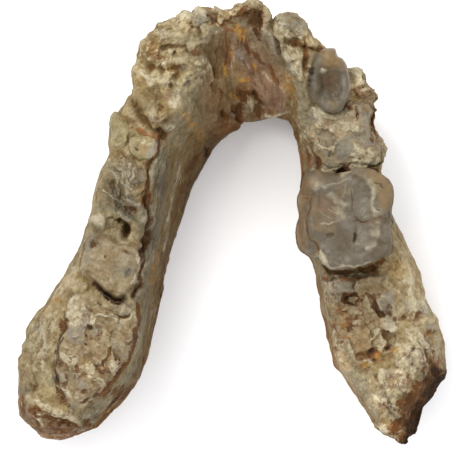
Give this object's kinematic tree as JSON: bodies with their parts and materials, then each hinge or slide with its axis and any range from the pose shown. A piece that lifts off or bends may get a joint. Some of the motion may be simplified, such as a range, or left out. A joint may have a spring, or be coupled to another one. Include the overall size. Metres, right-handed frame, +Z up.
{
  "type": "fossil jawbone",
  "caption": "Broken fossil lower jaw of an early human relative: a horseshoe of weathered bone with worn crowns and root stumps set in it.",
  "frame": {"origin": "centre of the footprint, on the plane that the lower border of the jaw rests on", "axes": "+X towards the jaw's own right side, +Y towards the chin, +Z up towards the tooth row"},
  "size_m": [0.061, 0.0627, 0.0298],
  "materials": {
    "bone": "weathered, matt",
    "root": "slightly waxy",
    "broken_crown": "crumbled, matt",
    "enamel": "worn, waxy gloss"
  },
  "bodies": {
    "root": {"jaw_bone": "bone", "right_premolar": "enamel", "right_first_molar": "broken_crown", "right_second_molar": "enamel", "right_third_molar": "broken_crown", "left_premolar_outer_root": "root", "left_premolar_inner_root": "root", "left_first_molar_root": "root", "left_second_molar": "broken_crown", "left_third_molar": "broken_crown"}
  },
  "joints": []
}
